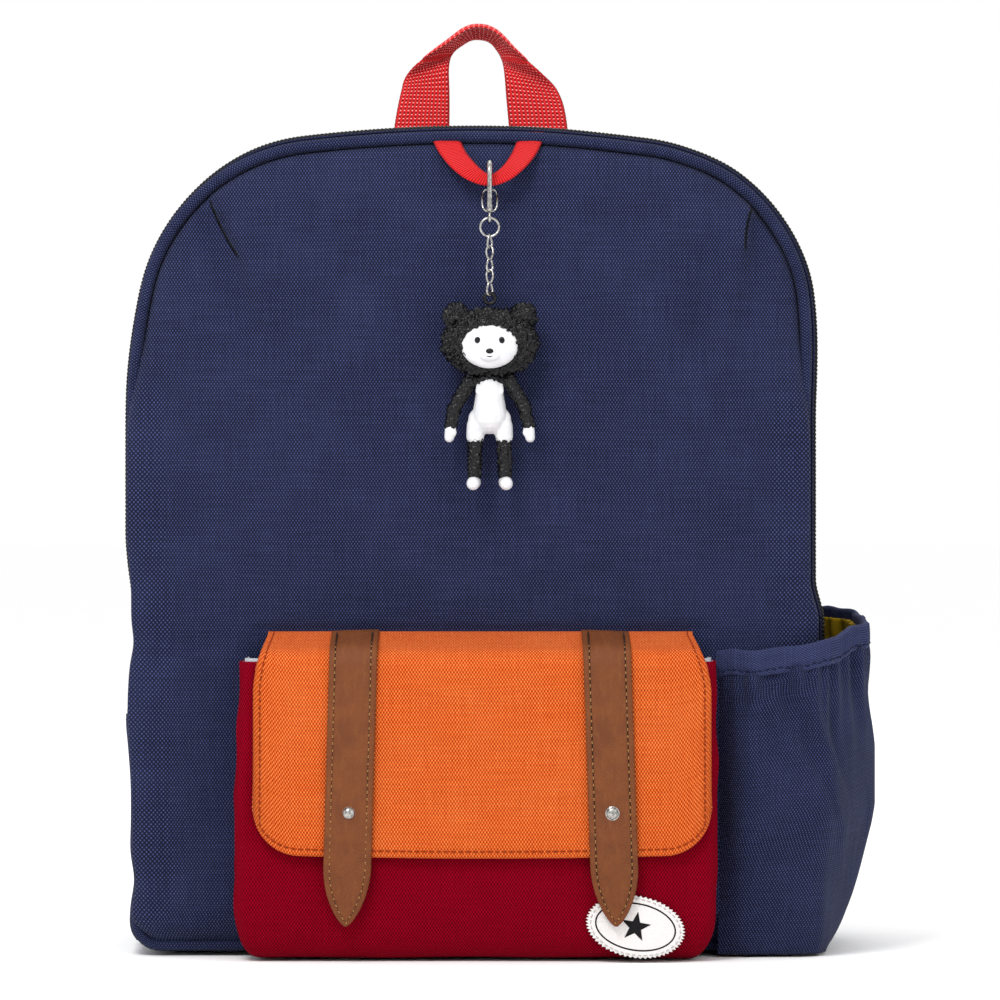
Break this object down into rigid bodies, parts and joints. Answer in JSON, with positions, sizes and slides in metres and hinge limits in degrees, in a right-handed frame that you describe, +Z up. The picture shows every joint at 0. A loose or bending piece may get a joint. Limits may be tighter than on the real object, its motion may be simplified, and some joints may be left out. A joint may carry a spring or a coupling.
{
  "type": "school backpack",
  "caption": "Upright school backpack with arched zipped front, flap pocket with two straps, side bottle pocket, carry handle, shoulder straps and a bear charm.",
  "frame": {"origin": "centre of the base panel's underside, at mid width and mid depth of the main body", "axes": "+Z up; the front with its flap pocket faces -Y and the shoulder straps are on the +Y side; +X is to the right of someone looking at the front"},
  "size_m": [0.3199, 0.2161, 0.4017],
  "materials": {
    "navy_canvas": "plain woven polyester canvas",
    "red_canvas": "plain woven polyester canvas",
    "orange_canvas": "plain woven polyester canvas",
    "red_webbing": "woven webbing and ribbon",
    "navy_webbing": "woven webbing",
    "brown_leather": "matte, stitched along both edges",
    "grey_lining": "thin plain lining",
    "yellow_lining": "thin plain lining",
    "foam": "closed-cell foam under cloth",
    "zip_nylon": "nylon coil",
    "nickel": "bright nickel plate",
    "black_plastic": "moulded acetal",
    "black_vinyl": "soft moulded vinyl with a tufted grain",
    "white_vinyl": "soft moulded vinyl",
    "badge_white": "moulded rubber patch"
  },
  "bodies": {
    "root": {"base_panel": "navy_canvas", "side_panels": "navy_canvas", "gusset_top": "navy_canvas", "front_panel_lower": "navy_canvas", "front_piping_lower": "navy_canvas", "back_panel": "navy_canvas", "back_foam": "foam", "back_lining": "grey_lining", "back_piping": "navy_canvas", "zip_tape_rear": "navy_canvas", "zip_coil_rear": "zip_nylon", "zip_half_front_lower": "navy_canvas", "zip_stops": "nickel", "front_pocket": "red_canvas", "front_pocket_lining": "grey_lining", "snap_sockets": "nickel", "badge": "badge_white", "side_pocket": "navy_canvas", "side_pocket_lining": "yellow_lining", "side_pocket_hem": "navy_canvas", "yoke_patch": "navy_canvas", "handle_feet": "red_webbing", "strap_top_ends": "navy_canvas", "strap_foot_anchors": "navy_webbing"},
    "front_panel": {"front_panel_upper": "navy_canvas", "front_piping_upper": "navy_canvas", "zip_tape_front": "navy_canvas", "zip_coil_front": "zip_nylon", "charm_ribbon": "red_webbing"},
    "flap": {"pocket_flap": "orange_canvas", "flap_lining": "grey_lining", "leather_strap_left": "brown_leather", "leather_strap_right": "brown_leather", "snap_rivets": "nickel"},
    "handle": {"carry_handle": "red_webbing"},
    "strap_left": {"shoulder_strap_left": "navy_canvas", "strap_foam_left": "foam", "buckle_tab_left": "navy_webbing", "strap_webbing_left": "navy_webbing"},
    "strap_right": {"shoulder_strap_right": "navy_canvas", "strap_foam_right": "foam", "buckle_tab_right": "navy_webbing", "strap_webbing_right": "navy_webbing"},
    "lock_left": {"ladder_lock_left": "black_plastic"},
    "lock_right": {"ladder_lock_right": "black_plastic"},
    "slider": {"zip_slider": "nickel"},
    "puller": {"zip_puller": "nickel"},
    "clasp": {"clasp_hook": "nickel"},
    "gate": {"clasp_gate": "nickel"},
    "ring": {"jump_ring": "nickel"},
    "link_1": {"chain_link_1": "nickel"},
    "link_2": {"chain_link_2": "nickel"},
    "link_3": {"chain_link_3": "nickel"},
    "link_4": {"chain_link_4": "nickel"},
    "end_link": {"chain_end_link": "nickel"},
    "bear": {"bear_head": "black_vinyl", "bear_face": "white_vinyl", "bear_romper": "white_vinyl", "bear_limbs": "black_vinyl", "bear_paws": "white_vinyl"}
  },
  "joints": [
    {"name": "front_panel_fold", "type": "hinge", "parent": "root", "child": "front_panel", "pos_m": [0, -0.073, 0.1412], "axis": [1, 0, 0], "range_deg": [0, 85]},
    {"name": "flap_lift", "type": "hinge", "parent": "root", "child": "flap", "pos_m": [0, -0.0736, 0.1408], "axis": [1, 0, 0], "range_deg": [-105, 0]},
    {"name": "handle_fold", "type": "hinge", "parent": "root", "child": "handle", "pos_m": [0, 0.0696, 0.3525], "axis": [1, 0, 0], "range_deg": [-80, 85]},
    {"name": "zip_slide", "type": "slide", "parent": "root", "child": "slider", "axis": [0, 0, 1], "range_m": [0, 0.06]},
    {"name": "puller_swing", "type": "hinge", "parent": "slider", "child": "puller", "pos_m": [0.15049, -0.0519, 0.1115], "axis": [0, -1, 0], "range_deg": [0, 40]},
    {"name": "strap_left_swing", "type": "hinge", "parent": "root", "child": "strap_left", "pos_m": [-0.044, 0.069, 0.322], "axis": [0.2581, 0, 0.9661], "range_deg": [-30, 30]},
    {"name": "lock_left_tilt", "type": "hinge", "parent": "strap_left", "child": "lock_left", "pos_m": [-0.09413, 0.0985, 0.13433], "axis": [0.9661, 0, -0.2581], "range_deg": [-5, 5]},
    {"name": "strap_right_swing", "type": "hinge", "parent": "root", "child": "strap_right", "pos_m": [0.044, 0.069, 0.322], "axis": [-0.2581, 0, 0.9661], "range_deg": [-30, 30]},
    {"name": "lock_right_tilt", "type": "hinge", "parent": "strap_right", "child": "lock_right", "pos_m": [0.09413, 0.0985, 0.13433], "axis": [0.9661, 0, 0.2581], "range_deg": [-5, 5]},
    {"name": "clasp_swing", "type": "hinge", "parent": "front_panel", "child": "clasp", "pos_m": [0.0062, -0.0818, 0.3253], "axis": [0, 1, 0], "range_deg": [-20, 20]},
    {"name": "gate_open", "type": "hinge", "parent": "clasp", "child": "gate", "pos_m": [0.0062, -0.0839, 0.3128], "axis": [1, 0, 0], "range_deg": [0, 32], "stiffness_Nm_per_rad": 0.01, "springref_deg": -17.19},
    {"name": "ring_swing", "type": "hinge", "parent": "clasp", "child": "ring", "pos_m": [0.0062, -0.0855, 0.3084], "axis": [-1, 0, 0], "range_deg": [0, 50]},
    {"name": "link_1_swing", "type": "hinge", "parent": "ring", "child": "link_1", "pos_m": [0.0062, -0.0855, 0.3006], "axis": [-1, 0, 0], "range_deg": [0, 15]},
    {"name": "link_2_swing", "type": "hinge", "parent": "link_1", "child": "link_2", "pos_m": [0.0062, -0.0855, 0.29573], "axis": [0, 1, 0], "range_deg": [-15, 15]},
    {"name": "link_3_swing", "type": "hinge", "parent": "link_2", "child": "link_3", "pos_m": [0.0062, -0.0855, 0.29081], "axis": [-1, 0, 0], "range_deg": [0, 15]},
    {"name": "link_4_swing", "type": "hinge", "parent": "link_3", "child": "link_4", "pos_m": [0.0062, -0.0855, 0.28589], "axis": [0, 1, 0], "range_deg": [-15, 15]},
    {"name": "end_link_swing", "type": "hinge", "parent": "link_4", "child": "end_link", "pos_m": [0.0062, -0.0855, 0.28097], "axis": [-1, 0, 0], "range_deg": [0, 15]},
    {"name": "bear_swing", "type": "hinge", "parent": "end_link", "child": "bear", "pos_m": [0.0062, -0.0855, 0.27605], "axis": [0, 1, 0], "range_deg": [-15, 15]}
  ]
}
